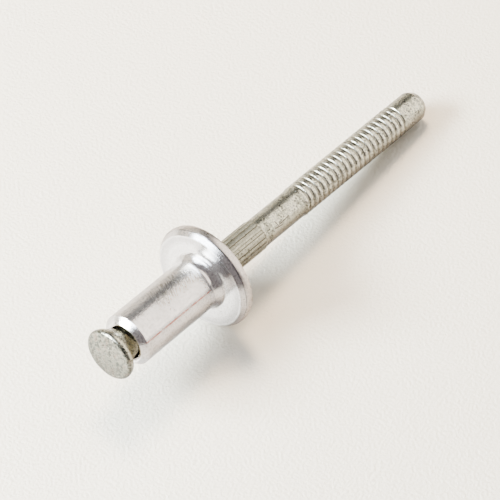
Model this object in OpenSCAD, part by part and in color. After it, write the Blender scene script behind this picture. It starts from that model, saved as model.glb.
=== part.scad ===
// Structural blind rivet, unset: an aluminium body on its zinc-plated steel mandrel.
// It lies as it comes to rest, on the rim of its flange and the end of its stem.
// All pieces share one axis. Heights are counted along it from the flange's seating
// face: the tube of the body is below zero, the flange and the stem above it.

/* [Body tube] */
// Outside diameter of the tube
body_d = 6.4; // [5.8:0.1:7.6]
// Length of the tube, from the flange's seating face to its open end
body_len = 12.8; // [9:0.1:20]
// Clearance on each side between the tube's bore and the mandrel's splines
bore_gap = 0.15; // [0.05:0.01:0.4]
// Rounding of the outer edge at the open end
tube_end_r = 0.35; // [0.1:0.05:0.4]
// Depth of the countersink at its mouth
mouth_depth = 0.25; // [0.1:0.05:0.5]
// Slope of that countersink, from the axis
mouth_angle = 45; // [35:5:55]
// How far the tube thickens to each side where it joins the flange
flare = 0.42; // [0.1:0.02:0.6]
// Length over which it thickens
flare_len = 1.2; // [0.8:0.1:2]
// Length of the thickest stretch, next to the flange
collar_len = 0.22; // [0.1:0.02:0.5]
// Taper of the collar towards the tube
collar_draft = 4; // [1:0.5:10]

/* [Flange] */
// Diameter of the flange
flange_d = 13; // [11:0.1:15.6]
// Height of the flange, from its seating face to the top of its dome
flange_h = 2.9; // [2.6:0.1:3.6]
// Height at which the domed back starts at the rim
rim_h = 1.6; // [1.3:0.05:1.8]
// Bulge radius of the rim
rim_r = 1.3; // [1.2:0.1:2]
// Width of the bevel round the seating face
bevel_w = 0.5; // [0.2:0.02:0.7]
// Height at which the bevel would reach the full diameter
bevel_h = 0.72; // [0.4:0.02:0.9]
// Length of the narrow throat that grips the mandrel's splines
throat_len = 2.2; // [1:0.1:2.5]
// Chamfer at the throat's outer end
throat_chamfer = 0.15; // [0.05:0.05:0.3]

/* [Mandrel head] */
// How much less than the tube the head measures on each side, to pass the same hole
head_gap = 0.025; // [0.01:0.005:0.3]
// How far the head's face stands clear of the tube's open end
head_reach = 2.78; // [2.5:0.02:3.6]
// Height of the head's rim, its rounded front edge included
head_rim = 0.46; // [0.44:0.02:0.8]
// Rounding of the head's front edge
head_edge_r = 0.4; // [0.1:0.05:0.4]
// Height of the slight dome on the head's face
head_crown = 0.08; // [0.02:0.02:0.2]
// Width of the flat margin round that dome
head_margin = 0.06; // [0.04:0.02:0.2]
// Rounding between the rim and the cone under the head
head_back_r = 0.8; // [0.5:0.1:1.6]
// Slope of the cone under the head, from the axis
head_cone_angle = 33; // [30:1:40]

/* [Mandrel stem] */
// Diameter of the plain stem
stem_d = 3.68; // [3.4:0.02:3.8]
// Length of the stem, from the flange's seating face to its end
stem_len = 39.65; // [36:0.05:48]
// How far the plain end stands out from the stem on each side
tail_rise = 0.06; // [0:0.01:0.1]
// Length of the plain end, its chamfer included
tail_len = 4.21; // [2:0.01:5]
// Length of the chamfer at the end
tail_chamfer_len = 0.75; // [0.3:0.05:1]
// Depth of that chamfer
tail_chamfer = 0.42; // [0.2:0.02:0.6]

/* [Splines] */
// Number of splines
spline_count = 17; // [12:1:20]
// How far the splines' crests stand out from the stem
spline_rise = 0.11; // [0.06:0.01:0.16]
// How far their roots lie below the stem
spline_sink = 0.04; // [0.01:0.01:0.12]
// Width of each spline at its crest
spline_w = 0.34; // [0.2:0.02:0.4]
// Slope of the splines' sides, from the radius
spline_side = 20; // [5:5:30]
// Turn of the splines from the middle of the breaking crimp's notches
spline_turn = 1.5; // [0:0.5:30]
// Height above the seating face at which the splines end
spline_top = 9.8; // [6:0.1:12]
// Height at which they start, inside the throat
spline_start = 1.2; // [0.8:0.1:1.6]
// Length of the run-out at each end
spline_runout = 0.4; // [0.2:0.05:0.8]
// Clearance on each side between the splines and the throat
throat_gap = 0.02; // [0.01:0.01:0.04]

/* [Pull grooves] */
// Number of grooves
groove_count = 22; // [12:1:24]
// Distance from groove to groove
groove_pitch = 0.843; // [0.7:0.001:0.9]
// How far the lands between the grooves stand out from the stem on each side
land_rise = 0.1; // [0.04:0.01:0.14]
// Depth of each groove
groove_depth = 0.13; // [0.08:0.01:0.16]
// Width of each groove at its mouth
groove_w = 0.52; // [0.38:0.01:0.56]
// Length over which the stem thickens to the first land
land_ramp = 0.4; // [0.1:0.05:1]

/* [Breaking crimp] */
// Thickness left between the two notches
crimp_web = 1.8; // [1.2:0.05:2.4]
// Half the angle of each notch
crimp_half_angle = 37; // [35:1:45]
// Width of each notch at its floor
crimp_floor = 0.12; // [0.05:0.01:0.3]
// Widest opening of each notch, where it meets the cone under the head
crimp_w = 2.8; // [2:0.1:3]
// Distance from the head's face to the middle of the notches
crimp_back = 2.25; // [2:0.05:2.8]

/* [Rest] */
// Roll about its own axis at which the rivet came to rest
rest_roll = 74; // [0:1:360]

/* [Hidden] */
$fn = 96;

body_r = body_d / 2;
flange_r = flange_d / 2;
head_r = body_r - head_gap;
stem_r = stem_d / 2;
spline_r = stem_r + spline_rise;
spline_root_r = stem_r - spline_sink;
land_r = stem_r + land_rise;
tail_r = stem_r + tail_rise;
bore_r = spline_r + bore_gap;
throat_r = spline_r + throat_gap;
over = 1;

// Body: the flare is an arc tangent to the tube, the dome an arc about the axis.
mouth_r = bore_r + mouth_depth * tan(mouth_angle);
collar_r = body_r + flare;
flare_r = (flare_len * flare_len + flare * flare) / (2 * flare);
rim_mid = rim_h * 0.65;
rim_edge_r = flange_r - rim_r + sqrt(rim_r * rim_r - pow(rim_h - rim_mid, 2));
dome_top_r = throat_r + throat_chamfer;
dome_low = (rim_edge_r * rim_edge_r - dome_top_r * dome_top_r) / (2 * (flange_h - rim_h))
         - (flange_h + rim_h) / 2;
dome_r = sqrt(pow(flange_h + dome_low, 2) + dome_top_r * dome_top_r);

// Mandrel: an arc tangent to the rim meets the cone at a slight crease.
cone_slope = tan(head_cone_angle);
face_z = -body_len - head_reach;
back_mid_z = face_z + head_rim;
cone_crease = 6;
cone_foot_r = head_r - head_back_r * (1 - cos(cone_crease) * cos(head_cone_angle));
cone_foot_z = back_mid_z + head_back_r * cos(cone_crease) * sin(head_cone_angle);
cone_tip_z = cone_foot_z + (cone_foot_r - stem_r) / cone_slope;
crimp_z = face_z + crimp_back;
face_r = head_r - head_edge_r;
crown_edge_r = face_r - head_margin;
crown_r = (crown_edge_r * crown_edge_r + head_crown * head_crown) / (2 * head_crown);
tail_z = stem_len - tail_len;
groove_start = tail_z - (groove_count - 1) * groove_pitch - groove_w;
land_start = groove_start - (groove_pitch - groove_w) / 2;
groove_r = (groove_w * groove_w / 4 + groove_depth * groove_depth) / (2 * groove_depth);

// Rest: the ground line touches the rim's arc and the corner behind the end's chamfer.
touch_dz = stem_len - tail_chamfer_len - rim_mid;
touch_dr = tail_r - (flange_r - rim_r);
touch_reach = sqrt(touch_dz * touch_dz + touch_dr * touch_dr);
tilt = asin(rim_r / touch_reach) - atan2(touch_dr, touch_dz);
ground = (stem_len - tail_chamfer_len) * sin(tilt) + tail_r * cos(tilt);
front_x = (face_z + head_edge_r) * cos(tilt) - face_r * sin(tilt) - head_edge_r;
end_corner_x = stem_len * cos(tilt) + (tail_r - tail_chamfer) * sin(tilt);
end_edge_x = (stem_len - tail_chamfer_len) * cos(tilt) + tail_r * sin(tilt);
back_x = max(end_corner_x, end_edge_x);

// Lays what is built upright along its own axis down on the ground, stem towards +X.
module lay_down() {
    translate([-(front_x + back_x) / 2, 0, ground])
        rotate([0, 90 + tilt, 0])
            rotate(rest_roll)
                children();
}

// Half of the flange, cut through: flat seating face, bevel, bulging rim and low dome.
module flange_section() {
    intersection() {
        union() {
            square([flange_r - rim_r, flange_h + over]);
            translate([flange_r - rim_r, rim_mid])
                circle(rim_r);
        }
        translate([0, -dome_low])
            circle(dome_r, $fn = 360);
        polygon([[0, 0],
                 [flange_r - bevel_w, 0],
                 [flange_r + bevel_w, 2 * bevel_h],
                 [flange_r + bevel_w, flange_h + over],
                 [0, flange_h + over]]);
    }
}

// The tube's wall and its flare, as a solid bar.
module tube_section() {
    difference() {
        translate([0, -body_len])
            square([body_r, body_len + rim_mid]);
        translate([body_r - tube_end_r, -body_len])
            difference() {
                translate([0, -over])
                    square([tube_end_r + over, tube_end_r + over]);
                translate([0, tube_end_r])
                    circle(tube_end_r);
            }
    }
    difference() {
        polygon([[0, -collar_len - flare_len],
                 [collar_r - (collar_len + flare_len) * tan(collar_draft), -collar_len - flare_len],
                 [collar_r, 0], [collar_r, rim_mid], [0, rim_mid]]);
        translate([body_r + flare_r, -collar_len - flare_len])
            circle(flare_r, $fn = 240);
    }
}

// The hole through the body: countersunk mouth, bore, narrow throat and its chamfer.
module bore_section() {
    throat_z = flange_h - throat_len;
    polygon([[0, -body_len - over],
             [mouth_r + over * tan(mouth_angle), -body_len - over],
             [bore_r, -body_len + mouth_depth],
             [bore_r, throat_z - (bore_r - throat_r)],
             [throat_r, throat_z],
             [throat_r, flange_h - throat_chamfer],
             [throat_r + throat_chamfer + over, flange_h + over],
             [0, flange_h + over]]);
}

module rivet_body() {
    color("#dcd9d4")
        lay_down()
            rotate_extrude()
                difference() {
                    union() {
                        tube_section();
                        flange_section();
                    }
                    bore_section();
                }
}

// Half of the head, cut through: crowned face, rounded edge, rim and cone.
module head_section() {
    difference() {
        translate([0, face_z])
            square([head_r, head_rim]);
        translate([face_r, face_z])
            difference() {
                translate([0, -over])
                    square([head_edge_r + over, head_edge_r + over]);
                translate([0, head_edge_r])
                    circle(head_edge_r);
            }
    }
    intersection() {
        translate([0, face_z - over])
            square([face_r, over]);
        translate([0, face_z - head_crown + crown_r])
            circle(crown_r, $fn = 720);
    }
    intersection() {
        translate([0, back_mid_z])
            square([head_r, head_back_r * sin(head_cone_angle + 2 * cone_crease)]);
        union() {
            translate([0, back_mid_z])
                square([head_r - head_back_r, head_back_r]);
            translate([head_r - head_back_r, back_mid_z])
                circle(head_back_r, $fn = 160);
        }
    }
    polygon([[0, cone_foot_z], [cone_foot_r, cone_foot_z], [stem_r, cone_tip_z], [0, cone_tip_z]]);
}

// Half of the stem, cut through, with its pull grooves and chamfered end.
module stem_section() {
    difference() {
        polygon([[0, back_mid_z], [stem_r, back_mid_z],
                 [stem_r, spline_start], [spline_root_r, spline_start],
                 [spline_root_r, spline_top], [stem_r, spline_top],
                 [stem_r, land_start - land_ramp], [land_r, land_start],
                 [land_r, tail_z], [tail_r, tail_z],
                 [tail_r, stem_len - tail_chamfer_len],
                 [tail_r - tail_chamfer, stem_len], [0, stem_len]]);
        for (i = [0 : groove_count - 1])
            translate([land_r + groove_r - groove_depth,
                       groove_start + groove_w / 2 + i * groove_pitch])
                circle(groove_r, $fn = 48);
    }
}

// The splined stretch: straight ribs, cut to a round crest that runs out at both ends.
module splines() {
    rib_foot = spline_root_r * 0.8;
    foot_w = spline_w / 2 + (spline_r - rib_foot) * tan(spline_side);
    intersection() {
        translate([0, 0, spline_start])
            linear_extrude(spline_top - spline_start)
                for (i = [0 : spline_count - 1])
                    rotate(spline_turn + i * 360 / spline_count)
                        polygon([[0, 0],
                                 [rib_foot, -foot_w],
                                 [spline_r, -spline_w / 2],
                                 [spline_r + over, -spline_w / 2],
                                 [spline_r + over, spline_w / 2],
                                 [spline_r, spline_w / 2],
                                 [rib_foot, foot_w]]);
        rotate_extrude()
            polygon([[0, spline_start], [stem_r, spline_start],
                     [spline_r, spline_start + spline_runout],
                     [spline_r, spline_top - spline_runout],
                     [stem_r, spline_top], [0, spline_top]]);
    }
}

// One of the two opposed notches that set where the stem breaks.
module crimp_notch() {
    shoulder = crimp_web / 2 + (crimp_w - crimp_floor) / 2 / tan(crimp_half_angle);
    rotate([90, 0, 0])
        linear_extrude(2 * body_d, center = true)
            polygon([[crimp_web / 2, -crimp_floor / 2],
                     [shoulder, -crimp_w / 2],
                     [head_r + over, -crimp_w / 2],
                     [head_r + over, crimp_w / 2],
                     [shoulder, crimp_w / 2],
                     [crimp_web / 2, crimp_floor / 2]]);
}

module mandrel() {
    color("#b4b3a6")
        lay_down()
            difference() {
                union() {
                    rotate_extrude() {
                        head_section();
                        stem_section();
                    }
                    splines();
                }
                for (side = [0, 180])
                    rotate(side)
                        translate([0, 0, crimp_z])
                            crimp_notch();
            }
}

rivet_body();
mandrel();
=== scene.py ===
import math

import bmesh
import bpy
from mathutils import Matrix, Vector, noise


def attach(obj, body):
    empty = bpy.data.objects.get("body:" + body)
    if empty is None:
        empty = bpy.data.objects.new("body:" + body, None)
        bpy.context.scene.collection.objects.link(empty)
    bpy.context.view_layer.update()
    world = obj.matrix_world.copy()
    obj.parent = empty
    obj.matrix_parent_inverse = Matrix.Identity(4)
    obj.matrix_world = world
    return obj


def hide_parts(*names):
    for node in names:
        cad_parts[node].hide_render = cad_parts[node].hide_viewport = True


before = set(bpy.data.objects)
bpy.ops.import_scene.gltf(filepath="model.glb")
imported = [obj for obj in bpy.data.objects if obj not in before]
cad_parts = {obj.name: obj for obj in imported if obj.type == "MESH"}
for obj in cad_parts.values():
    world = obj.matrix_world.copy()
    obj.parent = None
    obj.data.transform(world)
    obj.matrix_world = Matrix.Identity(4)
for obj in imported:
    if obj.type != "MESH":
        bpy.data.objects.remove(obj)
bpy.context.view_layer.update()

# ---------------------------------------------------------------------------
# Rivet body: a tube with a wide flange, cold headed in one piece from soft
# aluminium. It lies on the rim of its flange; its tube is bright from rubbing
# against other rivets, with a patch of slanting scratches near the flange.
# ---------------------------------------------------------------------------

# Sizes are in millimetres, with heights along the rivet's axis from the flange's
# seating face: below zero for the tube, above zero towards the stem's end.
# DIP is the slope of that axis, and SEAT the place of the seating face's centre.
DIP = math.radians(6.941814)
SEAT = Vector((-11.867052, 0.0, 6.587577))
TUBE_R = 3.2
MOUTH = -12.93
MOUTH_R = 2.5
MOUTH_DEPTH = 0.3
LIP_INNER = [(MOUTH, MOUTH_R), (-12.915, 2.55), (-12.87, 2.6)]
LIP_OUTER = [(-12.4, 3.07), (-12.35, 3.115), (-12.3, 3.155), (-12.24, TUBE_R)]
BORE_R = 2.1
FLARE_FOOT = -1.42
COLLAR_R = 3.62
COLLAR_LENGTH = 0.22
COLLAR_DRAFT = math.tan(math.radians(4))
FLANGE_R = 6.5
FLANGE_H = 2.9
RIM_ROUND = 1.3
RIM_MID = 1.04
RIM_TOP = 1.6
SEAT_EDGE = 6.0
BEVEL_SLOPE = 0.5 / 0.72
THROAT_R = 1.97
THROAT_START = 0.7
THROAT_CHAMFER = 0.15

ALONG = Vector((math.cos(DIP), 0.0, -math.sin(DIP)))
UPWARD = Vector((math.sin(DIP), 0.0, math.cos(DIP)))
ACROSS = ALONG.cross(UPWARD)


def lay_down(piece):
    """Moves what was turned about Z on to the rivet's axis as it lies, with X upwards."""
    piece.data.transform(Matrix(
        [[UPWARD[i], ACROSS[i], ALONG[i], SEAT[i] / 1000] for i in range(3)] + [[0, 0, 0, 1]]
    ))


def bend(centre, radius, start, end, steps):
    """Points (height, radius) round an arc of a section; 0 degrees is stemwards, 90 outwards."""
    turns = [math.radians(start + (end - start) * i / steps) for i in range(steps + 1)]
    return [(centre[0] + radius * math.cos(t), centre[1] + radius * math.sin(t)) for t in turns]


def straight(a, b, steps):
    """Points of a section from a to b, both included."""
    rise, widen = b[0] - a[0], b[1] - a[1]
    return [(a[0] + rise * i / steps, a[1] + widen * i / steps) for i in range(steps + 1)]


def leaving(centre, radius, foot, slope):
    """Where a line through foot, widening by slope with height, leaves a circle on its stem side."""
    dz, dr = foot[0] - centre[0], foot[1] - centre[1]
    a = 1 + slope * slope
    b = 2 * (dz + dr * slope)
    c = dz * dz + dr * dr - radius * radius
    t = (-b + math.sqrt(b * b - 4 * a * c)) / (2 * a)
    return (foot[0] + t, foot[1] + t * slope)


def angle_at(centre, point):
    """Direction of a section's point from a centre, in degrees."""
    return math.degrees(math.atan2(point[1] - centre[1], point[0] - centre[0]))


def join_runs(*runs):
    """One section from several runs, whose shared end points count once."""
    section = []
    for run in runs:
        for point in run:
            if not section or math.dist(point, section[-1]) > 1e-5:
                section.append(point)
    return section


def even_angles(count):
    return [2 * math.pi * i / count for i in range(count)]


SHARP_FROM = 24


def smooth_shell(shell, crease):
    """Smooth faces, with sharp edges only where they meet at more than crease degrees."""
    for face in shell.faces:
        face.smooth = True
    for edge in shell.edges:
        edge.smooth = len(edge.link_faces) < 2 or edge.calc_face_angle(0) < math.radians(crease)


def set_out(name, data):
    """Puts a mesh, lamp or camera into the scene as an object."""
    thing = bpy.data.objects.new(name, data)
    bpy.context.scene.collection.objects.link(thing)
    return thing


def turn_up(name, section, angles, shape, closed=False, crease=SHARP_FROM):
    """Turns a section (height, radius) about Z; shape(z, r, angle) may move each point."""
    shell = bmesh.new()
    rings = []
    for z, r in section:
        if r < 1e-6:
            rings.append([shell.verts.new((0, 0, z / 1000))])
            continue
        ring = []
        for angle in angles:
            up, out = shape(z, r, angle)
            x, y = out * math.cos(angle), out * math.sin(angle)
            ring.append(shell.verts.new((x / 1000, y / 1000, up / 1000)))
        rings.append(ring)
    next_rings = rings[1:] + rings[:1] if closed else rings[1:]
    count = len(angles)
    for low, high in zip(rings, next_rings):
        for i in range(count):
            j = (i + 1) % count
            if len(low) == 1:
                shell.faces.new((low[0], high[j], high[i]))
            elif len(high) == 1:
                shell.faces.new((low[i], low[j], high[0]))
            else:
                shell.faces.new((low[i], low[j], high[j], high[i]))
    bmesh.ops.recalc_face_normals(shell, faces=shell.faces)
    smooth_shell(shell, crease)
    mesh = bpy.data.meshes.new(name)
    shell.to_mesh(mesh)
    shell.free()
    return set_out(name, mesh)


# The flare runs tangent from the tube, through the collar's foot.
flare_rise = COLLAR_R - TUBE_R
flare_round = ((FLARE_FOOT + COLLAR_LENGTH) ** 2 + flare_rise**2) / (2 * flare_rise)
flare_centre = (FLARE_FOOT, TUBE_R + flare_round)
flare_top = leaving(flare_centre, flare_round, (0, COLLAR_R), COLLAR_DRAFT)
rim_centre = (RIM_MID, FLANGE_R - RIM_ROUND)
bevel_top = leaving(rim_centre, RIM_ROUND, (0, SEAT_EDGE), BEVEL_SLOPE)
rim_edge = (RIM_TOP, rim_centre[1] + math.sqrt(RIM_ROUND**2 - (RIM_TOP - RIM_MID) ** 2))
# The dome is part of a ball, from the rim to the chamfer of the hole.
dome_edge = (FLANGE_H, THROAT_R + THROAT_CHAMFER)
dome_low = (rim_edge[1] ** 2 - dome_edge[1] ** 2) / (2 * (FLANGE_H - RIM_TOP)) - (FLANGE_H + RIM_TOP) / 2
dome_centre = (-dome_low, 0.0)
dome_round = math.hypot(FLANGE_H + dome_low, dome_edge[1])
bore_top = (THROAT_START - (BORE_R - THROAT_R), BORE_R)
mouth_round = [
    (MOUTH + MOUTH_DEPTH * (1 - math.cos(t)), MOUTH_R - (MOUTH_R - BORE_R) * math.sin(t))
    for t in (math.radians(15 * i) for i in range(6, -1, -1))
]

body_section = join_runs(
    LIP_INNER,
    straight(LIP_INNER[-1], LIP_OUTER[0], 6),
    LIP_OUTER,
    straight(LIP_OUTER[-1], (FLARE_FOOT, TUBE_R), 30),
    bend(flare_centre, flare_round, -90, angle_at(flare_centre, flare_top), 10),
    straight(flare_top, (0, COLLAR_R), 2),
    straight((0, COLLAR_R), (0, SEAT_EDGE), 12),
    straight((0, SEAT_EDGE), bevel_top, 5),
    bend(rim_centre, RIM_ROUND, angle_at(rim_centre, bevel_top), angle_at(rim_centre, rim_edge), 12),
    bend(dome_centre, dome_round, angle_at(dome_centre, rim_edge), angle_at(dome_centre, dome_edge), 14),
    straight(dome_edge, (FLANGE_H - THROAT_CHAMFER, THROAT_R), 1),
    straight((FLANGE_H - THROAT_CHAMFER, THROAT_R), (THROAT_START, THROAT_R), 4),
    straight((THROAT_START, THROAT_R), bore_top, 1),
    straight(bore_top, (MOUTH + MOUTH_DEPTH, BORE_R), 14),
    mouth_round,
)[:-1]

# Nicks: height, angle round the axis in degrees, then length, width and depth.
RIM_NICKS = [(0.5, 101, 0.5, 0.16, 0.07), (1.0, 57, 0.28, 0.14, 0.04), (0.9, -18, 0.2, 0.3, 0.03)]
RIM_NICKS_FROM_R = 5.6
BODY_UNEVEN = 0.008


def nick(z, r, angle, at_z, at_angle, long, wide, deep):
    """Depth at a point of one soft nick, its length along the axis and its width round the part."""
    turn = (angle - math.radians(at_angle) + math.pi) % (2 * math.pi) - math.pi
    q = ((z - at_z) / long) ** 2 + (turn * r / wide) ** 2
    return deep * math.exp(-q)


def waves(z, angle, per_turn, per_mm):
    """Soft unevenness, from -1 to 1, that closes up round a part."""
    return noise.noise(Vector((math.cos(angle) * per_turn, math.sin(angle) * per_turn, z * per_mm)))


def body_wear(z, r, angle):
    """Uneven and nicked outside; the bore and the throat stay true."""
    if r < BORE_R + 0.3 and z < FLANGE_H:
        return z, r
    r += BODY_UNEVEN * waves(z, angle, 1.3, 0.35)
    if r > RIM_NICKS_FROM_R:
        for mark in RIM_NICKS:
            r -= nick(z, r, angle, *mark)
    return z, r


body = turn_up("Rivet.body", body_section, even_angles(288), body_wear, closed=True)
lay_down(body)


def add(tree, kind, wires=None, **settings):
    """Adds a node; wires gives each input, by name or number, a value or another node's output."""
    node = tree.nodes.new(kind)
    node.location = (190 * (len(tree.nodes) % 12), -260 * (len(tree.nodes) // 12))
    for name, value in settings.items():
        setattr(node, name, value)
    for name, value in (wires or {}).items():
        if isinstance(value, bpy.types.NodeSocket):
            tree.links.new(value, node.inputs[name])
        else:
            node.inputs[name].default_value = value
    return node


def reckon(tree, operation, *values):
    """One step of arithmetic on values that change over the surface."""
    return add(tree, "ShaderNodeMath", dict(enumerate(values)), operation=operation).outputs[0]


def times(tree, a, b):
    return reckon(tree, "MULTIPLY", a, b)


def plus(tree, a, b):
    return reckon(tree, "ADD", a, b)


def minus(tree, a, b):
    return reckon(tree, "SUBTRACT", a, b)


def enlarged(tree, vector, scale):
    return add(tree, "ShaderNodeVectorMath", {0: vector, 3: scale}, operation="SCALE").outputs[0]


def share_along(tree, vector, way, label=""):
    """How far a vector reaches in the direction way."""
    wires = {0: vector, 1: way}
    return add(tree, "ShaderNodeVectorMath", wires, operation="DOT_PRODUCT", label=label).outputs["Value"]


def ramp(tree, value, low, high, a=0.0, b=1.0):
    """Smooth change from a to b while value goes from low to high."""
    wires = {"Value": value, "From Min": low, "From Max": high, "To Min": a, "To Max": b}
    return add(tree, "ShaderNodeMapRange", wires, interpolation_type="SMOOTHSTEP").outputs[0]


def band(tree, value, low, high, blur):
    """1 between low and high, fading to 0 over blur on both sides."""
    rise = ramp(tree, value, low - blur, low)
    fall = ramp(tree, value, high, high + blur, 1.0, 0.0)
    return times(tree, rise, fall)


def soft_noise(tree, vector, per_mm, detail=2.0, rough=0.5):
    wires = {"Vector": vector, "Scale": per_mm, "Detail": detail, "Roughness": rough}
    return add(tree, "ShaderNodeTexNoise", wires).outputs[0]


def blend_colours(tree, share, a, b):
    """Colour a where share is 0, going over to b where it is 1."""
    return add(tree, "ShaderNodeMix", {0: share, 6: a, 7: b}, data_type="RGBA").outputs[2]


def tint(tree, under, mask, strength, over):
    """Lays the colour over on the one under it where mask is 1, as strongly as strength."""
    return blend_colours(tree, times(tree, mask, strength), under, over)


NUMBER = "NodeSocketFloat"
VECTOR = "NodeSocketVector"


def new_group(name, sockets_in, sockets_out):
    group = bpy.data.node_groups.new(name, "ShaderNodeTree")
    for label, kind, value in sockets_in:
        socket = group.interface.new_socket(name=label, in_out="INPUT", socket_type=kind)
        if value is not None:
            socket.default_value = value
    for label, kind in sockets_out:
        group.interface.new_socket(name=label, in_out="OUTPUT", socket_type=kind)
    return group, add(group, "NodeGroupInput").outputs, add(group, "NodeGroupOutput").inputs


# Where a point lies on a turned part: height and radius in millimetres, angle in radians
# from the upper side, and its place in millimetres from the seating face's centre.
turned_place, given, result = new_group(
    "Place on a turned part",
    [("Vector", VECTOR, None)],
    [("Height", NUMBER), ("Radius", NUMBER), ("Angle", NUMBER), ("Millimetres", VECTOR)],
)
in_mm = enlarged(turned_place, given["Vector"], 1000.0)
from_seat = add(turned_place, "ShaderNodeVectorMath", {0: in_mm, 1: SEAT}, operation="SUBTRACT").outputs[0]
x, y, z = (share_along(turned_place, from_seat, way) for way in (UPWARD, ACROSS, ALONG))
squares = plus(turned_place, times(turned_place, x, x), times(turned_place, y, y))
turned_place.links.new(z, result["Height"])
turned_place.links.new(reckon(turned_place, "SQRT", squares), result["Radius"])
turned_place.links.new(reckon(turned_place, "ARCTAN2", y, x), result["Angle"])
turned_place.links.new(from_seat, result["Millimetres"])

# Fine scratches that run at a slant round a turned part.
scratches, given, result = new_group(
    "Slanting scratches",
    [("Height", NUMBER, 0.0), ("Radius", NUMBER, 1.0), ("Angle", NUMBER, 0.0), ("Slant", NUMBER, 0.5),
     ("Per mm", NUMBER, 7.0), ("Length", NUMBER, 1.0), ("Cover", NUMBER, 0.5)],
    [("Height", NUMBER), ("Mask", NUMBER)],
)
SCRATCH_EDGE = 0.12
round_mm = times(scratches, given["Angle"], given["Radius"])
c = reckon(scratches, "COSINE", given["Slant"])
s = reckon(scratches, "SINE", given["Slant"])
run = minus(scratches, times(scratches, round_mm, c), times(scratches, given["Height"], s))
side = plus(scratches, times(scratches, round_mm, s), times(scratches, given["Height"], c))
drawn_out = add(scratches, "ShaderNodeCombineXYZ", {
    0: reckon(scratches, "DIVIDE", run, given["Length"]),
    1: times(scratches, side, given["Per mm"]),
}).outputs[0]
lines = soft_noise(scratches, drawn_out, 1.0, 1.5)
edge = minus(scratches, 1.0, given["Cover"])
scratches.links.new(lines, result["Height"])
cut = ramp(scratches, lines, edge, plus(scratches, edge, SCRATCH_EDGE))
scratches.links.new(cut, result["Mask"])

# Specks and pits: small ragged dots. A coarse noise lets them grow in places to their
# full size; in the others "Least" is the share of it that they keep.
specks, given, result = new_group(
    "Specks",
    [("Millimetres", VECTOR, None), ("Per mm", NUMBER, 4.0), ("Size", NUMBER, 0.3), ("Least", NUMBER, 0.2)],
    [("Mask", NUMBER)],
)
ragged = add(specks, "ShaderNodeTexNoise", {
    "Vector": given["Millimetres"], "Scale": times(specks, given["Per mm"], 2.0), "Detail": 1.0,
}).outputs["Color"]
shift = enlarged(specks, ragged, reckon(specks, "DIVIDE", 0.7, given["Per mm"]))
place = add(specks, "ShaderNodeVectorMath", {0: given["Millimetres"], 1: shift}, operation="ADD").outputs[0]
dots = add(specks, "ShaderNodeTexVoronoi", {"Vector": place, "Scale": given["Per mm"]}).outputs["Distance"]
coarse = soft_noise(specks, given["Millimetres"], times(specks, given["Per mm"], 0.25), 1.0)
size = times(specks, ramp(specks, coarse, 0.4, 0.62, given["Least"], 1.0), given["Size"])
specks.links.new(ramp(specks, dots, times(specks, size, 0.5), size, 1.0, 0.0), result["Mask"])


def metal(name):
    """A metal, with its nodes, its shader, and where each of its points lies on the rivet."""
    material = bpy.data.materials.new(name)
    material.use_nodes = True
    tree = material.node_tree
    shader = tree.nodes["Principled BSDF"]
    shader.inputs["Metallic"].default_value = 1.0
    spot = add(tree, "ShaderNodeGroup", node_tree=turned_place)
    tree.links.new(add(tree, "ShaderNodeTexCoord").outputs["Object"], spot.inputs[0])
    return material, tree, shader, spot.outputs


def raise_skin(tree, shader, relief, distance):
    """Shades the surface as if it stood out by relief times distance, in metres."""
    skin = add(tree, "ShaderNodeBump", {"Strength": 1.0, "Distance": distance, "Height": relief})
    tree.links.new(skin.outputs[0], shader.inputs["Normal"])


CLEAN = (0.9, 0.885, 0.88, 1)
CLOUDED = (0.8, 0.785, 0.775, 1)
TURNED_DARK = (0.78, 0.78, 0.79, 1)
TURNED_LIGHT = (0.95, 0.94, 0.95, 1)
# Painted shade on the outer seating face.
SEAT_SHADE = (0.4, 0.4, 0.41, 1)
RIM_LIGHT = (0.72, 0.66, 0.6, 1)
RIM_DARK = (0.55, 0.5, 0.46, 1)
ALUMINIUM_GRAIN = (0.36, 0.345, 0.33, 1)
SPECK = (0.16, 0.14, 0.12, 1)
SCRATCH = (0.2, 0.18, 0.13, 1)
# Painted shade in the corner of bevel and rim.
CORNER_SHADE = (0.14, 0.13, 0.13, 1)
# A painted reflection: the reddish line along the tube.
RED_REFLECTION = (0.55, 0.16, 0.11, 1)

aluminium, tree, shader, at = metal("Cold formed aluminium")
height, radius, angle, mm = at["Height"], at["Radius"], at["Angle"], at["Millimetres"]
on_tube = times(tree, ramp(tree, height, -1.6, -1.3, 1.0, 0.0), ramp(tree, radius, 3.0, 3.1))
on_rim = times(tree, ramp(tree, height, 0.62, 0.72), ramp(tree, radius, 5.2, 5.6))
on_seat = times(tree, ramp(tree, height, 0.02, 0.06, 1.0, 0.0), ramp(tree, radius, 3.7, 3.8))
cloud = soft_noise(tree, mm, 0.55, 3.0)
fine_cloud = soft_noise(tree, mm, 5.0, 3.0)

# Turning marks run round the seating face and the rim.
ring_place = add(tree, "ShaderNodeCombineXYZ", {
    0: times(tree, radius, 7.0), 1: times(tree, height, 7.0), 2: times(tree, angle, 0.8),
}).outputs[0]
turning = soft_noise(tree, ring_place, 1.0)

# Slanting scratches gather along the top of the tube, most of them near the flange.
slanting = add(tree, "ShaderNodeGroup", {
    "Height": height, "Radius": radius, "Angle": angle,
    "Slant": 0.46, "Per mm": 11.0, "Length": 1.3, "Cover": 0.57,
}, node_tree=scratches).outputs
patch = times(tree, band(tree, height, -7.2, -2.4, 2.0), band(tree, angle, -0.38, 0.3, 0.3))
patchy = ramp(tree, soft_noise(tree, mm, 0.9), 0.3, 0.6, 0.35, 1.0)
rubbed = times(tree, times(tree, patch, patchy), on_tube)

bright = blend_colours(tree, ramp(tree, cloud, 0.35, 0.65), CLEAN, CLOUDED)
turned = blend_colours(tree, ramp(tree, turning, 0.35, 0.65), TURNED_DARK, TURNED_LIGHT)
bright = tint(tree, bright, on_seat, 0.8, turned)
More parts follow.
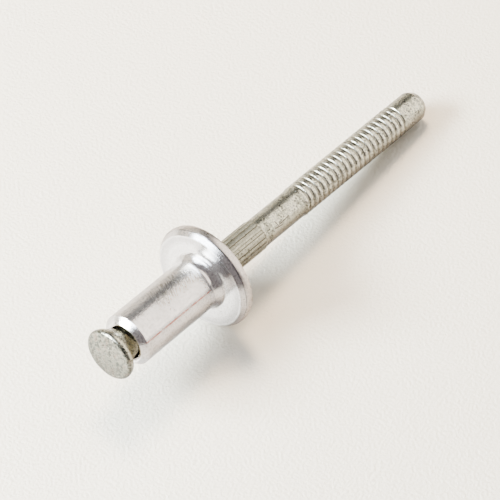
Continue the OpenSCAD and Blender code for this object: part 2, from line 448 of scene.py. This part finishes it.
# The seating face is painted darker outwards, a painted shade, and ends in a thin ring of painted
# highlight.
outwards = ramp(tree, radius, 4.5, 5.7, 0.0, 0.6)
outwards = times(tree, outwards, ramp(tree, radius, 5.74, 5.8, 1.0, 0.25))
bright = tint(tree, bright, on_seat, outwards, SEAT_SHADE)
rim_colour = blend_colours(tree, ramp(tree, fine_cloud, 0.4, 0.6), RIM_LIGHT, RIM_DARK)
bright = tint(tree, bright, on_rim, 0.8, rim_colour)
# All over the body lie a fine grey grain and a few dark specks.
grain = soft_noise(tree, mm, 4.6, 3.0, 0.6)
bright = tint(tree, bright, ramp(tree, grain, 0.48, 0.6), 0.42, ALUMINIUM_GRAIN)
dirt = add(tree, "ShaderNodeGroup", {
    "Millimetres": mm, "Per mm": 1.8, "Size": 0.2, "Least": 0.0,
}, node_tree=specks).outputs["Mask"]
bright = tint(tree, bright, dirt, 0.6, SPECK)
bright = tint(tree, bright, times(tree, slanting["Mask"], rubbed), 0.6, SCRATCH)
# Painted shade: a dark, unevenly strong line in the corner where the bevel meets the rim.
corner = times(tree, band(tree, height, 0.55, 0.6, 0.06), ramp(tree, radius, 6.1, 6.2))
uneven_shade = ramp(tree, soft_noise(tree, mm, 0.8), 0.35, 0.6, 0.2, 0.8)
bright = tint(tree, bright, corner, uneven_shade, CORNER_SHADE)
# A thin reddish line runs along the tube: a painted reflection.
painted_red_line = times(tree, band(tree, angle, 1.005, 1.035, 0.02), on_tube)
painted_red_line = times(tree, painted_red_line, ramp(tree, soft_noise(tree, mm, 1.6), 0.3, 0.6, 0.3, 0.95))
bright = blend_colours(tree, painted_red_line, bright, RED_REFLECTION)
tree.links.new(bright, shader.inputs["Base Color"])

gloss = plus(tree, ramp(tree, cloud, 0.3, 0.7, 0.15, 0.21), times(tree, on_tube, 0.05))
gloss = plus(tree, gloss, times(tree, on_rim, 0.1))
tree.links.new(gloss, shader.inputs["Roughness"])
relief = times(tree, times(tree, slanting["Height"], rubbed), 0.026)
relief = plus(tree, relief, times(tree, turning, 0.004))
relief = plus(tree, relief, times(tree, fine_cloud, ramp(tree, height, -1.6, -1.2, 0.016, 0.006)))
relief = plus(tree, relief, times(tree, cloud, ramp(tree, height, -1.6, -1.0, 0.02, 0.006)))
raise_skin(tree, shader, relief, 0.001)

body.data.materials.append(aluminium)
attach(body, "root")
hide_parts("rivet_body")

# ---------------------------------------------------------------------------
# Mandrel: a steel pull stem, headed, notched for breaking, splined under the
# flange and rolled with pull grooves, then zinc plated. It sits in the body's
# bore, its splines held in the throat, and its end touches the ground.
# ---------------------------------------------------------------------------
STEM_R = 1.84
HEAD_R = 3.175
FACE = -15.58
HEAD_RIM = 0.46
HEAD_EDGE = 0.4
CROWN = 0.08
CROWN_EDGE = HEAD_R - HEAD_EDGE - 0.06
BACK_ROUND = 0.8
CONE = math.radians(33)
CONE_BREAK = math.radians(6)
# The head's mesh ends inside the body, and the stem's starts there.
HEAD_MESH_END = 0.9
INSIDE_TUBE = -11.0
WAVES_PER_MM = 0.9
HEAD_UNEVEN_ALONG = 0.012
HEAD_UNEVEN_ROUND = 0.014
NOTCH_AT = -13.33
NOTCH_WEB = 1.8
NOTCH_ANGLE = math.radians(37)
NOTCH_FLOOR = 0.12
NOTCH_OPEN = 2.8
NOTCH_TURN = 74
CUTTER_OUT = 4.2
CUTTER_HALF = 6.4

crown_round = (CROWN_EDGE**2 + CROWN**2) / (2 * CROWN)
crown_centre = (FACE - CROWN + crown_round, 0.0)
back_mid = FACE + HEAD_RIM
back_centre = (back_mid, HEAD_R - BACK_ROUND)
cone_foot = (
    back_mid + BACK_ROUND * math.cos(CONE_BREAK) * math.sin(CONE),
    HEAD_R - BACK_ROUND * (1 - math.cos(CONE_BREAK) * math.cos(CONE)),
)
cone_tip = (cone_foot[0] + (cone_foot[1] - STEM_R) / math.tan(CONE), STEM_R)

head_section = join_runs(
    bend(crown_centre, crown_round, 180, angle_at(crown_centre, (FACE, CROWN_EDGE)), 24),
    straight((FACE, CROWN_EDGE), (FACE, HEAD_R - HEAD_EDGE), 1),
    bend((FACE + HEAD_EDGE, HEAD_R - HEAD_EDGE), HEAD_EDGE, 180, 90, 10),
    straight((FACE + HEAD_EDGE, HEAD_R), (back_mid, HEAD_R), 1),
    bend(back_centre, BACK_ROUND, 90, angle_at(back_centre, cone_foot), 8),
    straight(cone_foot, cone_tip, 12),
    straight(cone_tip, (INSIDE_TUBE, STEM_R), 8),
    straight((INSIDE_TUBE, STEM_R), (HEAD_MESH_END, STEM_R), 10),
    [(HEAD_MESH_END, 0.0)],
)


def head_wear(z, r, angle):
    """Slightly uneven head; the stem behind it stays round."""
    if r > STEM_R + 0.05:
        x, y = math.cos(angle) * r, math.sin(angle) * r
        spot = Vector((x * WAVES_PER_MM, y * WAVES_PER_MM, z * WAVES_PER_MM))
        z += HEAD_UNEVEN_ALONG * noise.noise(spot)
        r += HEAD_UNEVEN_ROUND * noise.noise(spot + Vector((7, 3, 1)))
    return z, r


head = turn_up("Mandrel.head", head_section, even_angles(192), head_wear)

# The two breaking notches are pressed in from opposite sides, under the head.
cutter = bmesh.new()
shoulder = NOTCH_WEB / 2 + (NOTCH_OPEN - NOTCH_FLOOR) / 2 / math.tan(NOTCH_ANGLE)
outline = [
    (NOTCH_WEB / 2, -NOTCH_FLOOR / 2), (shoulder, -NOTCH_OPEN / 2), (CUTTER_OUT, -NOTCH_OPEN / 2),
    (CUTTER_OUT, NOTCH_OPEN / 2), (shoulder, NOTCH_OPEN / 2), (NOTCH_WEB / 2, NOTCH_FLOOR / 2),
]
for side in (0, 180):
    turn = math.radians(NOTCH_TURN + side)
    ends = []
    for along in (-CUTTER_HALF, CUTTER_HALF):
        loop = []
        for out, up in outline:
            x = out * math.cos(turn) - along * math.sin(turn)
            y = out * math.sin(turn) + along * math.cos(turn)
            loop.append(cutter.verts.new((x / 1000, y / 1000, (NOTCH_AT + up) / 1000)))
        ends.append(loop)
    cutter.faces.new(ends[0])
    cutter.faces.new(list(reversed(ends[1])))
    for i in range(len(outline)):
        j = (i + 1) % len(outline)
        cutter.faces.new((ends[0][i], ends[1][i], ends[1][j], ends[0][j]))
bmesh.ops.recalc_face_normals(cutter, faces=cutter.faces)
cutter_mesh = bpy.data.meshes.new("Notches")
cutter.to_mesh(cutter_mesh)
cutter.free()
notches = set_out("Notches", cutter_mesh)
cut = head.modifiers.new("Notches", "BOOLEAN")
cut.operation = "DIFFERENCE"
cut.solver = "EXACT"
cut.object = notches
notched = bpy.data.meshes.new_from_object(head.evaluated_get(bpy.context.evaluated_depsgraph_get()))
head.modifiers.clear()
head.data = notched
bpy.data.objects.remove(notches)
shell = bmesh.new()
shell.from_mesh(notched)
smooth_shell(shell, SHARP_FROM)
shell.to_mesh(notched)
shell.free()
lay_down(head)

# The stem behind it: splines, a bare part, pull grooves and the plain end. Rings
# of points stand close together over the ends of the splines.
SPLINES = 17
SPLINE_R = 1.95
VALLEY_R = 1.80
SPLINE_W = 0.26
SPLINE_FLANK = math.radians(20)
SPLINES_FROM = 1.2
SPLINES_TO = 9.8
SPLINES_RISE = 0.4
SPLINES_FALL = 0.25
SPLINE_FIRST = 255.5
CLOSE_RINGS = 0.4
STEM_SHARP_FROM = 50
LAND_R = 1.94
LANDS_RISE = 0.4
GROOVES = 22
PITCH = 0.843
GROOVE_W = 0.45
GROOVE_DEEP = 0.13
GROOVE_ARC = 0.93
# The lands between the grooves are worn at their edges, this far and this deep.
LAND_WORN = 0.06
LIP_WORN = 0.02
WORN_DEEP = 0.006
TAIL = 35.44
TAIL_R = 1.9
STEM_END = 39.65
END_CHAMFER = 0.75
END_CHAMFER_IN = 0.42
STEM_UNEVEN = 0.006
BARE_NICKS = [(11.8, 52, 0.34, 0.08, 0.035), (12.2, 47, 0.12, 0.2, 0.03), (12.35, 55, 0.1, 0.16, 0.03)]
BARE_NICKS_FROM = 10.5
BARE_NICKS_TO = 14
END_NICKS = [(38.5, 69, 0.16, 0.14, 0.06), (38.75, 48, 0.2, 0.1, 0.05), (38.1, 84, 0.14, 0.12, 0.05)]

# Round the stem the points gather on the edges of the splines.
half_top = math.degrees(SPLINE_W / 2 / SPLINE_R)
half_foot = math.degrees((SPLINE_W / 2 + (SPLINE_R - VALLEY_R) * math.tan(SPLINE_FLANK)) / VALLEY_R)
half_mid = (half_foot + half_top) / 2
spacing = 360 / SPLINES
steps = [
    -half_foot, -half_mid, -half_top, -half_top / 2, 0,
    half_top / 2, half_top, half_mid, half_foot, spacing / 2,
]
stem_angles = [math.radians(SPLINE_FIRST + spacing * i + step) for i in range(SPLINES) for step in steps]


def eased(share):
    """A share held between 0 and 1, with a soft start and end."""
    share = max(0.0, min(1.0, share))
    return share * share * (3 - 2 * share)


def stem_shape(z, r, angle):
    """Splines that fade in and out along the stem, slight unevenness past the body, and nicks."""
    turn = (math.degrees(angle) - SPLINE_FIRST) % spacing
    off = min(turn, spacing - turn)
    if SPLINES_FROM < z < SPLINES_TO:
        ends = eased(min((SPLINES_TO - z) / SPLINES_FALL, (z - SPLINES_FROM) / SPLINES_RISE))
        rise = eased((half_foot - off) / (half_foot - half_top))
        r = STEM_R + ends * (VALLEY_R + (SPLINE_R - VALLEY_R) * rise - STEM_R)
    elif z > 1.0:
        r += STEM_UNEVEN * waves(z, angle, 1.6, 0.6)
    if z > TAIL:
        marks = END_NICKS
    elif BARE_NICKS_FROM < z < BARE_NICKS_TO:
        marks = BARE_NICKS
    else:
        marks = []
    for mark in marks:
        r -= nick(z, r, angle, *mark)
    return z, r


groove_round = (GROOVE_W**2 / 4 + GROOVE_DEEP**2) / (2 * GROOVE_DEEP)
first_groove = TAIL - (GROOVES - 1) * PITCH - GROOVE_W
lands_from = first_groove - (PITCH - GROOVE_W) / 2
half_arc = math.degrees(math.asin(GROOVE_W / 2 / groove_round)) * GROOVE_ARC
runs = [
    [(HEAD_MESH_END, 0.0), (HEAD_MESH_END, STEM_R), (SPLINES_FROM, STEM_R)],
    straight((SPLINES_FROM, STEM_R), (SPLINES_FROM + CLOSE_RINGS, STEM_R), 4),
    straight((SPLINES_FROM + CLOSE_RINGS, STEM_R), (SPLINES_TO - CLOSE_RINGS, STEM_R), 10),
    straight((SPLINES_TO - CLOSE_RINGS, STEM_R), (SPLINES_TO, STEM_R), 6),
    straight((SPLINES_TO, STEM_R), (lands_from - LANDS_RISE, STEM_R), 40),
    straight((lands_from - LANDS_RISE, STEM_R), (lands_from, LAND_R), 2),
]
for i in range(GROOVES):
    middle = (first_groove + GROOVE_W / 2 + i * PITCH, LAND_R + groove_round - GROOVE_DEEP)
    start = middle[0] - GROOVE_W / 2
    runs.append([(start - LAND_WORN, LAND_R), (start - LIP_WORN, LAND_R - WORN_DEEP)])
    runs.append(bend(middle, groove_round, -90 - half_arc, -90 + half_arc, 8))
    runs.append([(start + GROOVE_W + LIP_WORN, LAND_R - WORN_DEEP), (start + GROOVE_W + LAND_WORN, LAND_R)])
# The plain end starts right at the last groove, and its edges are worn round.
chamfer_at = STEM_END - END_CHAMFER
end_r = TAIL_R - END_CHAMFER_IN
runs[-1] = [(TAIL + 0.01, TAIL_R - 0.01)]
runs += [
    straight((TAIL + 0.03, TAIL_R), (chamfer_at - 0.08, TAIL_R), 26),
    [(chamfer_at, TAIL_R - 0.012)],
    straight((chamfer_at + 0.07, TAIL_R - 0.045), (STEM_END - 0.06, end_r + 0.03), 5),
    [(STEM_END - 0.02, end_r - 0.01)],
    straight((STEM_END, end_r - 0.06), (STEM_END, 0.0), 5),
]
stem = turn_up("Mandrel.stem", join_runs(*runs), stem_angles, stem_shape, crease=STEM_SHARP_FROM)
lay_down(stem)

ZINC_DARK = (0.3, 0.31, 0.25, 1)
ZINC_LIGHT = (0.62, 0.62, 0.5, 1)
ZINC_CLOUD = (0.68, 0.67, 0.57, 1)
HEAD_DARK = (0.07, 0.085, 0.078, 1)
HEAD_GREY = (0.3, 0.305, 0.255, 1)
HEAD_CLOUD = (0.42, 0.41, 0.35, 1)
HEAD_STAIN = (0.34, 0.24, 0.19, 1)
# Painted shade on the lower side of the head's face.
HEAD_LOW_SHADE = (0.09, 0.1, 0.085, 1)
YELLOWED = (0.5, 0.46, 0.31, 1)
SPLINE_DARK = (0.26, 0.256, 0.205, 1)
SPLINE_LIGHT = (0.64, 0.63, 0.51, 1)
GROOVE_BRIGHT = (0.85, 0.84, 0.7, 1)
ZINC_GRAIN = (0.17, 0.165, 0.13, 1)
# Painted shade on the stem's underside.
UNDERSIDE_SHADE = (0.15, 0.14, 0.11, 1)
FORK = (0.08, 0.065, 0.05, 1)
# Painted shade in the spline flanks, the grooves and the tube's mouth.
PAINTED_SHADE = (0.12, 0.108, 0.076, 1)
PIT = (0.06, 0.058, 0.045, 1)

zinc, tree, shader, at = metal("Zinc plated steel")
height, radius, angle, mm = at["Height"], at["Radius"], at["Angle"], at["Millimetres"]
cloud = soft_noise(tree, mm, 0.7, 3.0, 0.6)
mottle = soft_noise(tree, mm, 2.4, 4.0, 0.65)
fine = soft_noise(tree, mm, 9.0, 3.0, 0.6)
pits = add(tree, "ShaderNodeGroup", {
    "Millimetres": mm, "Per mm": 3.2, "Size": 0.52, "Least": 0.45,
}, node_tree=specks).outputs["Mask"]
on_face = ramp(tree, height, -15.2, -15.05, 1.0, 0.0)
on_splines = band(tree, height, SPLINES_FROM, SPLINES_TO - 0.2, 0.2)
on_grooves = band(tree, height, lands_from, TAIL - 0.14, 0.1)
plate = blend_colours(tree, ramp(tree, mottle, 0.38, 0.62), ZINC_DARK, ZINC_LIGHT)
plate = blend_colours(tree, ramp(tree, cloud, 0.4, 0.66, 0.0, 0.6), plate, ZINC_CLOUD)
# The head's face is duller: grey-green clouds with brownish stains, and painted shade darkens its lower
# side.
spots = soft_noise(tree, mm, 3.0, 3.0, 0.6)
stains = soft_noise(tree, mm, 1.3, 2.0)
up = add(tree, "ShaderNodeSeparateXYZ", {0: mm}).outputs["Z"]
dull = blend_colours(tree, ramp(tree, spots, 0.4, 0.52), HEAD_DARK, HEAD_GREY)
dull = blend_colours(tree, ramp(tree, cloud, 0.45, 0.62, 0.0, 0.35), dull, HEAD_CLOUD)
dull = blend_colours(tree, ramp(tree, stains, 0.54, 0.7, 0.0, 0.5), dull, HEAD_STAIN)
dull = blend_colours(tree, ramp(tree, up, 3.2, 0.2, 0.0, 0.4), dull, HEAD_LOW_SHADE)
plate = blend_colours(tree, on_face, plate, dull)
# The splines, the back of the head and the notched part are yellower.
yellow = plus(tree, on_splines, band(tree, height, -14.9, -12.0, 0.2))
plate = tint(tree, plate, yellow, 0.5, YELLOWED)
spline_colour = blend_colours(tree, ramp(tree, fine, 0.35, 0.65), SPLINE_DARK, SPLINE_LIGHT)
plate = tint(tree, plate, on_splines, 0.8, spline_colour)
# The rolled grooves are brighter. A dark grain lies on all of it, and painted shade darkens the stem's
# underside.
plate = tint(tree, plate, on_grooves, 0.4, GROOVE_BRIGHT)
grain = soft_noise(tree, mm, 4.4, 4.0, 0.65)
plate = tint(tree, plate, ramp(tree, grain, 0.47, 0.6), 0.4, ZINC_GRAIN)
under = times(tree, band(tree, angle, 1.5, 2.6, 0.35), ramp(tree, height, 1.0, 1.3))
plate = tint(tree, plate, under, 0.55, UNDERSIDE_SHADE)
# A small forked scratch is left on the bare part of the stem: each stroke goes from
# one height and angle in degrees to another.
STROKES = [((12.34, 53.9), (13.87, 49.7)), ((11.96, 55.0), (11.76, 34.0)), ((11.39, 56.6), (12.56, 62.3))]
arc = times(tree, angle, STEM_R)
for (from_z, from_turn), (to_z, to_turn) in STROKES:
    rise, swing = to_z - from_z, STEM_R * math.radians(to_turn - from_turn)
    length = math.hypot(rise, swing)
    away_z = minus(tree, height, from_z)
    away_arc = minus(tree, arc, STEM_R * math.radians(from_turn))
    run = plus(tree, times(tree, away_z, rise / length), times(tree, away_arc, swing / length))
    side = minus(tree, times(tree, away_arc, rise / length), times(tree, away_z, swing / length))
    stroke = times(tree, band(tree, run, 0.0, length, 0.05), band(tree, side, -0.045, 0.045, 0.04))
    plate = tint(tree, plate, stroke, 0.9, FORK)
# Painted shade darkens the flanks of the splines, the hollows of the grooves, and the stem where it enters
# the tube.
low = times(tree, band(tree, radius, 1.82, 1.89, 0.03), on_splines)
low = plus(tree, low, times(tree, ramp(tree, radius, 1.82, 1.88, 0.8, 0.0), on_grooves))
low = plus(tree, low, band(tree, height, -13.05, -11.5, 0.35))
plate = tint(tree, plate, low, 0.75, PAINTED_SHADE)
plate = tint(tree, plate, pits, 0.8, PIT)
tree.links.new(plate, shader.inputs["Base Color"])

rough = ramp(tree, mottle, 0.3, 0.7, 0.3, 0.18)
rough = plus(tree, rough, times(tree, on_splines, 0.2))
tree.links.new(rough, shader.inputs["Roughness"])
relief = times(tree, mottle, 0.022)
relief = plus(tree, relief, times(tree, fine, 0.006))
relief = minus(tree, relief, times(tree, pits, 0.012))
raise_skin(tree, shader, relief, 0.001)

for piece in (head, stem):
    piece.data.materials.clear()
    piece.data.materials.append(zinc)
    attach(piece, "root")
    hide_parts("mandrel")

# ---------------------------------------------------------------------------
# Floor: a sheet of smooth white paper under the rivet, with a faint tooth.
# It is laid flat, and reaches well past all that the camera sees.
# ---------------------------------------------------------------------------
FLOOR_HALF = 2
PAPER = (0.85, 0.84, 0.77, 1)
PAPER_MIRRORED = (0.47, 0.45, 0.43, 1)
corners = [(x * FLOOR_HALF, y * FLOOR_HALF, 0) for x, y in ((-1, -1), (1, -1), (1, 1), (-1, 1))]
sheet = bpy.data.meshes.new("Floor")
sheet.from_pydata(corners, [], [(0, 1, 2, 3)])
floor = set_out("Floor", sheet)
paper = bpy.data.materials.new("White paper")
paper.use_nodes = True
tree = paper.node_tree
shader = tree.nodes["Principled BSDF"]
# The paper is painted darker in what the metal mirrors than it looks from above: painted shade in the
# reflections.
mirrored = add(tree, "ShaderNodeLightPath").outputs["Is Glossy Ray"]
tree.links.new(blend_colours(tree, mirrored, PAPER, PAPER_MIRRORED), shader.inputs["Base Color"])
tooth = soft_noise(tree, add(tree, "ShaderNodeTexCoord").outputs["Object"], 2600.0)
raise_skin(tree, shader, tooth, 0.00012)
shader.inputs["Roughness"].default_value = 0.62
shader.inputs["Metallic"].default_value = 0.4
sheet.materials.append(paper)

# ---------------------------------------------------------------------------
# Light: a soft window on the left, and a small warm lamp overhead for the paper
# alone, make the two shadows. The window's upper part, a card on the right and
# the room's patches show in the metal, the grey gap as a streak on the tube.
# ---------------------------------------------------------------------------
world = bpy.data.worlds.new("Room")
bpy.context.scene.world = world
world.use_nodes = True
tree = world.node_tree
background = tree.nodes["Background"]
direction = add(tree, "ShaderNodeTexCoord").outputs["Generated"]
WALLS = (0.25, 0.22, 0.22, 1)
# Each patch: name, azimuth, elevation, half width and blur in degrees, colour.
PATCHES = [
    ("Far side", 84, 8, 38, 18, (1.35, 1.2, 1.0, 1)),
    ("Low right", -58, 0, 15, 12, (1.5, 1.35, 1.2, 1)),
    ("Gap", 42, 38, 15, 8, (0.27, 0.26, 0.25, 1)),
]


def towards(azimuth, elevation):
    """The direction, seen from the rivet, of an azimuth and elevation in degrees."""
    az, el = math.radians(azimuth), math.radians(elevation)
    return Vector((math.cos(el) * math.cos(az), math.cos(el) * math.sin(az), math.sin(el)))


room = WALLS
for name, azimuth, elevation, half, blur, paint in PATCHES:
    facing = share_along(tree, direction, towards(azimuth, elevation), label=name)
    outer, inner = math.radians(half + blur / 2), math.radians(half - blur / 2)
    room = blend_colours(tree, ramp(tree, facing, math.cos(outer), math.cos(inner)), room, paint)
tree.links.new(room, background.inputs["Color"])
background.inputs["Strength"].default_value = 1.0


def lamp(name, azimuth, elevation, distance, size, radiance, colour, lights="both"):
    """A soft box that faces the rivet; it may light the paper alone or show in the metal alone."""
    light = bpy.data.lights.new(name, "AREA")
    light.shape = "RECTANGLE"
    light.size, light.size_y = size
    light.energy = radiance * math.pi * size[0] * size[1]
    light.color = colour
    box = set_out(name, light)
    place = towards(azimuth, elevation) * distance
    box.location = place
    box.rotation_euler = (-place).to_track_quat("-Z", "Y").to_euler()
    box.visible_diffuse = lights != "metal"
    box.visible_glossy = lights != "paper"
    return light


lamp("Window", 143, 32, 0.45, (0.24, 0.113), 170.0, (0.89, 0.915, 0.865))
lamp("Overhead", 54, 63, 0.3, (0.085, 0.085), 137.0, (1, 0.74, 0.5), lights="paper")
lamp("Window, upper part", 140, 53, 0.34, (0.34, 0.17), 15.0, (0.87, 0.95, 1.05), lights="metal")
card = lamp("Card on the right", 333, 36, 0.5, (0.8, 0.8), 2.4, (1, 0.9, 0.78), lights="metal")
card.shape = "DISK"

# ---------------------------------------------------------------------------
# Camera: a long lens, looking down on the rivet from in front of its head.
# It stands about 0.4 m away, level with the ground from side to side.
# ---------------------------------------------------------------------------
lens = bpy.data.cameras.new("Camera")
lens.sensor_width = 36
lens.lens = 239.2
lens.clip_start = 0.01
lens.clip_end = 20
camera = set_out("Camera", lens)
right = (0.645925, -0.763401, 0.0)
up = (0.606364, 0.513054, 0.607534)
back = (-0.463792, -0.392422, 0.794294)
stand = (-0.179556, -0.149281, 0.305723)
camera.matrix_world = Matrix([[right[i], up[i], back[i], stand[i]] for i in range(3)] + [[0, 0, 0, 1]])
bpy.context.scene.camera = camera
